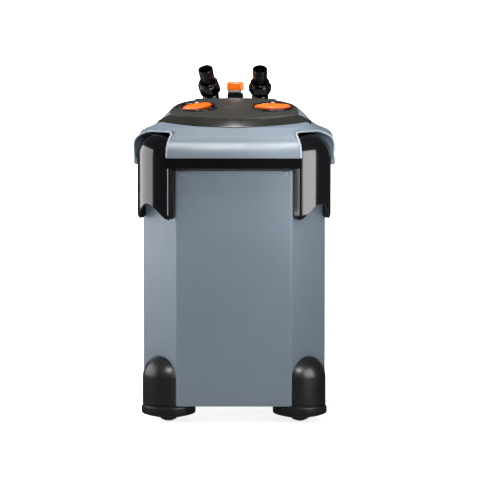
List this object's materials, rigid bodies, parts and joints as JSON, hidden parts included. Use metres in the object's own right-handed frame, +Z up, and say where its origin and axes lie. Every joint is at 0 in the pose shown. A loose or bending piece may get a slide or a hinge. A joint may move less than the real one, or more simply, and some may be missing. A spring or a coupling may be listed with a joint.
{
  "type": "canister filter",
  "caption": "External aquarium canister filter: square bucket with chamfered corners, domed feet, corner clamps, sloping head console with valve knobs and hose tails.",
  "frame": {"origin": "on the floor, under the middle of the object", "axes": "+Z up, the console and the front face look towards -Y, +X to the right when facing the front"},
  "size_m": [0.244, 0.2428, 0.4274],
  "materials": {
    "body_plastic": "moulded grey-blue plastic, fine satin texture",
    "head_plastic": "grey-blue plastic, satin gloss",
    "gloss_black": "polished black plastic",
    "satin_black": "black plastic, satin",
    "console_plastic": "dark olive-grey plastic, satin",
    "dish_black": "mirror-smooth black plastic",
    "orange": "orange plastic, glossy",
    "rubber": "black rubber",
    "steel": "ground stainless steel",
    "ceramic": "white ground ceramic",
    "basket": "dark grey basket plastic",
    "sponge": "open-cell blue foam",
    "fleece": "white filter fleece",
    "bio": "porous bio media, beige"
  },
  "bodies": {
    "housing": {"bio_media": "bio", "cable_gland": "satin_black", "canister_body": "body_plastic", "coarse_sponge": "sponge", "console": "console_plastic", "console_trim": "console_plastic", "fine_pad": "fleece", "foot_back_left": "satin_black", "foot_back_right": "satin_black", "foot_front_left": "satin_black", "foot_front_right": "satin_black", "foot_pad_back_left": "rubber", "foot_pad_back_right": "rubber", "foot_pad_front_left": "rubber", "foot_pad_front_right": "rubber", "head_base": "satin_black", "head_cover": "head_plastic", "head_seal": "rubber", "impeller_cover": "satin_black", "impeller_shaft": "ceramic", "intake_riser": "satin_black", "media_basket_1": "basket", "media_basket_2": "basket", "media_basket_3": "basket", "motor_housing": "satin_black", "port_seal_left": "rubber", "port_seal_right": "rubber", "port_tube_left": "satin_black", "port_tube_right": "satin_black", "shaft_bush_bottom": "rubber", "shaft_bush_top": "rubber", "side_grip_left": "head_plastic", "side_grip_right": "head_plastic", "valve_dish_left": "dish_black", "valve_dish_right": "dish_black"},
    "clamp_front_left_arm": {"clamp_front_left": "gloss_black", "clamp_pin_front_left": "steel"},
    "clamp_front_right_arm": {"clamp_front_right": "gloss_black", "clamp_pin_front_right": "steel"},
    "clamp_back_right_arm": {"clamp_back_right": "gloss_black", "clamp_pin_back_right": "steel"},
    "clamp_back_left_arm": {"clamp_back_left": "gloss_black", "clamp_pin_back_left": "steel"},
    "knob_left": {"valve_knob_left": "orange", "valve_rotor_left": "satin_black"},
    "swivel_left": {"port_elbow_left": "gloss_black", "hose_tail_left": "gloss_black"},
    "nut_left": {"union_nut_left": "gloss_black"},
    "knob_right": {"valve_knob_right": "orange", "valve_rotor_right": "satin_black"},
    "swivel_right": {"port_elbow_right": "gloss_black", "hose_tail_right": "gloss_black"},
    "nut_right": {"union_nut_right": "gloss_black"},
    "lever": {"release_lever": "satin_black", "lever_cap": "orange", "lever_pin": "steel"},
    "block": {"hose_block": "gloss_black"},
    "rotor": {"impeller": "satin_black"}
  },
  "joints": [
    {"name": "clamp_front_left_hinge", "type": "hinge", "parent": "housing", "child": "clamp_front_left_arm", "pos_m": [-0.09551, -0.09551, 0.323], "axis": [-0.7071, 0.7071, 0], "range_deg": [0, 45]},
    {"name": "clamp_front_right_hinge", "type": "hinge", "parent": "housing", "child": "clamp_front_right_arm", "pos_m": [0.09551, -0.09551, 0.323], "axis": [-0.7071, -0.7071, 0], "range_deg": [0, 45]},
    {"name": "clamp_back_right_hinge", "type": "hinge", "parent": "housing", "child": "clamp_back_right_arm", "pos_m": [0.09551, 0.09551, 0.323], "axis": [0.7071, -0.7071, 0], "range_deg": [0, 45]},
    {"name": "clamp_back_left_hinge", "type": "hinge", "parent": "housing", "child": "clamp_back_left_arm", "pos_m": [-0.09551, 0.09551, 0.323], "axis": [0.7071, 0.7071, 0], "range_deg": [0, 45]},
    {"name": "valve_left_turn", "type": "hinge", "parent": "housing", "child": "knob_left", "pos_m": [-0.046, -0.03092, 0.36772], "axis": [0, -0.1702, 0.9854], "range_deg": [-42, 48]},
    {"name": "valve_right_turn", "type": "hinge", "parent": "housing", "child": "knob_right", "pos_m": [0.046, -0.03092, 0.36772], "axis": [0, -0.1702, 0.9854], "range_deg": [0, 90]},
    {"name": "lever_tilt", "type": "hinge", "parent": "block", "child": "lever", "pos_m": [0, 0.044, 0.3805], "axis": [-1, 0, 0], "range_deg": [0, 60]},
    {"name": "block_lift", "type": "slide", "parent": "housing", "child": "block", "axis": [0, 0, 1], "range_m": [0, 0.003]},
    {"name": "tail_left_swivel", "type": "hinge", "parent": "block", "child": "swivel_left", "pos_m": [-0.0305, 0.052, 0.3848], "axis": [0, 0, 1], "range_deg": [-60, 25]},
    {"name": "nut_left_spin", "type": "hinge", "parent": "swivel_left", "child": "nut_left", "pos_m": [-0.03167, 0.04816, 0.39524], "axis": [-0.1592, -0.5208, 0.8387], "continuous": true},
    {"name": "tail_right_swivel", "type": "hinge", "parent": "block", "child": "swivel_right", "pos_m": [0.0305, 0.052, 0.3848], "axis": [0, 0, 1], "range_deg": [-10, 75]},
    {"name": "nut_right_spin", "type": "hinge", "parent": "swivel_right", "child": "nut_right", "pos_m": [0.0305, 0.04799, 0.39524], "axis": [0, -0.5446, 0.8387], "continuous": true},
    {"name": "impeller_spin", "type": "hinge", "parent": "housing", "child": "rotor", "pos_m": [0, 0, 0.3], "axis": [0, 0, 1], "continuous": true}
  ],
  "couplings": [
    {"joint": "lever_tilt", "follows": "block_lift", "rad_per_m": 349.07}
  ]
}
